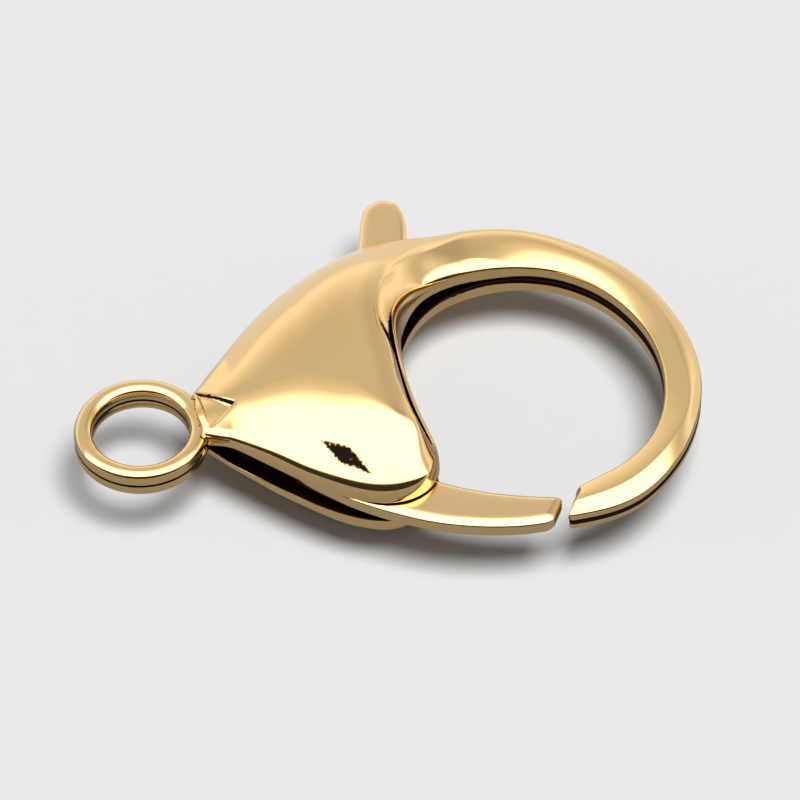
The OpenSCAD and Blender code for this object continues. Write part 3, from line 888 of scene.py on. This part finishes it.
# The union gives the ring some of the shell's painted shade, so the ring's own is set again up to the neck:
# painted shade at the seam, none above it
RING_REACH, RING_SHADE_TOP = EYE_HOLE + EYE_WIDTH + 0.01, SEAM_HALF + 0.04
upper = piece("upper_shell_fine", *skin(sections), shell_gold, section_shade_and_reflection)
combined(upper, eyelet, "UNION")
for point, painted_shade_and_reflection in zip(upper.data.vertices, upper.data.attributes["painted_shade_and_reflection"].data):
    if Vector(point.co.xy).length < RING_REACH * MM and point.co.x < NECK_START * MM:
        painted_shade_and_reflection.value = 1.0 if point.co.z < RING_SHADE_TOP * MM else 0.0
shaded(upper)

lower_mesh = upper.data.copy()
lower = bpy.data.objects.new("lower_shell_fine", lower_mesh)
bpy.context.scene.collection.objects.link(lower)
flipped = bmesh.new()
flipped.from_mesh(lower_mesh)
for point in flipped.verts:
    point.co.z = -point.co.z
bmesh.ops.reverse_faces(flipped, faces=flipped.faces)
flipped.to_mesh(lower_mesh)
flipped.free()
shaded(lower)
for made, node in ((upper, "upper_shell"), (lower, "lower_shell")):
    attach(made, "body")
    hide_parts(node)
print("faces of a shell:", len(upper.data.polygons))

# %% [markdown]
# ## The lever
# The lever is stamped from thicker sheet and tumbled, so its edges are rolled and its faces slightly
# crowned. Its outline is a table of pairs of points from the gate's end to the thumb tab. The height
# of the face depends on how far a point is from the nearest edge, which rounds the ends and the sides
# alike. A bevel modifier would stumble over the many short edges of the tab's round end.

# %% Lever outline
LEVER = [
    (15.32, -8.08, 16.05, -6.88), (14.05, -8.05, 14.65, -6.53), (12.40, -7.74, 13.10, -6.00),
    (10.80, -7.20, 11.70, -5.30), (9.40, -6.47, 10.75, -4.62), (8.06, -5.60, 10.25, -3.85),
    (6.80, -4.58, 9.98, -3.15), (5.80, -3.58, 9.88, -2.55), (5.45, -2.65, 9.85, -1.95),
    (5.95, -1.85, 9.85, -1.30), (7.05, -0.80, 9.90, -0.50), (7.95, 0.80, 10.05, 0.80),
    (8.65, 2.90, 10.55, 2.70), (9.50, 5.30, 11.45, 5.00), (10.25, 7.20, 12.30, 7.00),
    (10.70, 8.50, 12.75, 8.45), (10.98, 9.55, 12.90, 9.60), (11.25, 10.30, 12.77, 10.34),
    (11.48, 10.60, 12.55, 10.62), (11.74, 10.75, 12.28, 10.76), (11.98, 10.80, 12.04, 10.80)]
LEVER_HALF = 0.46
# The face is crowned by this much, and its edges roll over within these widths and fall by this much
LEVER_FALL = 0.05
ROLL_WIDTH_OUTER, ROLL_WIDTH_INNER, ROLL_FALL = 0.5, 0.28, 0.22
# Rounding of the two corners at the gate's end
CORNER = 0.3
LEVER_SOFTENED = 0.2
LEVER_SECTIONS = 300
CROWDED_TO_ENDS = 0.85
lever_last = len(LEVER) - 1
lever_fine = np.linspace(0, lever_last, lever_last * FINE + 1)
lever_curve = softened(through(LEVER, lever_fine) * PLAN, LEVER_SOFTENED * FINE)
to_ends = (1 - np.cos(np.linspace(0, pi, LEVER_SECTIONS))) / 2
even = np.linspace(0, 1, LEVER_SECTIONS)
lever_at = lever_last * (CROWDED_TO_ENDS * to_ends + (1 - CROWDED_TO_ENDS) * even)
edges = np.stack([np.interp(lever_at, lever_fine, lever_curve[:, k]) for k in range(4)], axis=1)
near, far_side = edges[:, :2], edges[:, 2:]
across = (far_side - near) / np.linalg.norm(far_side - near, axis=1, keepdims=True)
end_line = across[0]
from_end = np.abs((near - near[0]) @ np.array([end_line[1], -end_line[0]]))
cut = np.where(from_end < CORNER, CORNER - np.sqrt(np.maximum(CORNER ** 2 - (CORNER - from_end) ** 2, 0)), 0)
near, far_side = near + across * cut[:, None], far_side - across * cut[:, None]
print("lever width at the gate's end (mm):", round(float(np.linalg.norm(edges[0, :2] - edges[0, 2:])), 2))

# %% Lever faces and sides
ACROSS_POINTS = 44
w = (1 - np.cos(np.linspace(0, pi, ACROSS_POINTS))) / 2
grid = near[:, None] * (1 - w)[None, :, None] + far_side[:, None] * w[None, :, None]
outline = np.concatenate([near, far_side[::-1]])
starts, ends = outline, np.roll(outline, -1, axis=0)
span = ends - starts
TINY = 1e-12
length_squared = np.maximum((span ** 2).sum(axis=1), TINY)


def distance_to_outline(points):
    offset = points[:, None] - starts[None]
    t = np.clip((offset * span[None]).sum(axis=-1) / length_squared, 0, 1)
    return np.linalg.norm(offset - t[..., None] * span[None], axis=-1).min(axis=1)


edge_distance = np.concatenate([distance_to_outline(row) for row in grid]).reshape(grid.shape[:2])
roll_width = ROLL_WIDTH_OUTER + (ROLL_WIDTH_INNER - ROLL_WIDTH_OUTER) * w[None, :]
inside = np.clip(edge_distance / roll_width, 0, 1)
half_across = np.linalg.norm(far_side - near, axis=1)[:, None] / 2
crowned = LEVER_FALL * (1 - np.clip(edge_distance / half_across, 0, 1)) ** 2
face = LEVER_HALF - ROLL_FALL * (1 - np.sqrt(1 - (1 - inside) ** 2)) - crowned
top_points, bottom_points = lifted(grid, face).reshape(-1, 3), lifted(grid, -face).reshape(-1, 3)
rows, cols = grid.shape[:2]
offset = rows * cols
faces = []
for r in range(rows - 1):
    for c in range(cols - 1):
        a, b = r * cols + c, (r + 1) * cols + c
        faces.append((a, b, b + 1, a + 1))
        faces.append((a + offset, a + 1 + offset, b + 1 + offset, b + offset))
first_end, last_end = range(cols), [(rows - 1) * cols + c for c in range(cols - 2, -1, -1)]
border = [*first_end, *[r * cols + cols - 1 for r in range(1, rows)],
          *last_end, *[r * cols for r in range(rows - 2, 0, -1)]]
for a, b in zip(border, border[1:] + border[:1]):
    faces.append((a, b, b + offset, a + offset))
lever = piece("lever_fine", np.concatenate([top_points, bottom_points]), faces, lever_gold)

# %% Hole for the pin
PIN_AT = PLAN * np.array([8.05, -3.2])
HOLE_RADIUS = 0.65
HOLE_SIDES = 64
DRILL_HALF = 1.0
angles = np.linspace(0, 2 * pi, HOLE_SIDES, endpoint=False)
circle = PIN_AT + HOLE_RADIUS * np.stack([np.cos(angles), np.sin(angles)], axis=1)
drill = piece("drill", *skin(np.stack([lifted(circle, -DRILL_HALF), lifted(circle, DRILL_HALF)])), lever_gold)
combined(lever, drill, "DIFFERENCE")
shaded(lever)
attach(lever, "lever")
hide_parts("lever")
print("faces of the lever:", len(lever.data.polygons))

# %% [markdown]
# ## The pin
# The pin is a true cylinder in the solids and hidden inside the body, so it stays as it is and only
# gets its turned steel.

# %% Pin
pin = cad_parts["pivot_pin"]
for slot_index in range(max(len(pin.data.materials), 1)):
    if pin.material_slots:
        pin.material_slots[slot_index].material = pin_steel
    else:
        pin.data.materials.append(pin_steel)
print("pin materials:", [slot.material.name for slot in pin.material_slots])
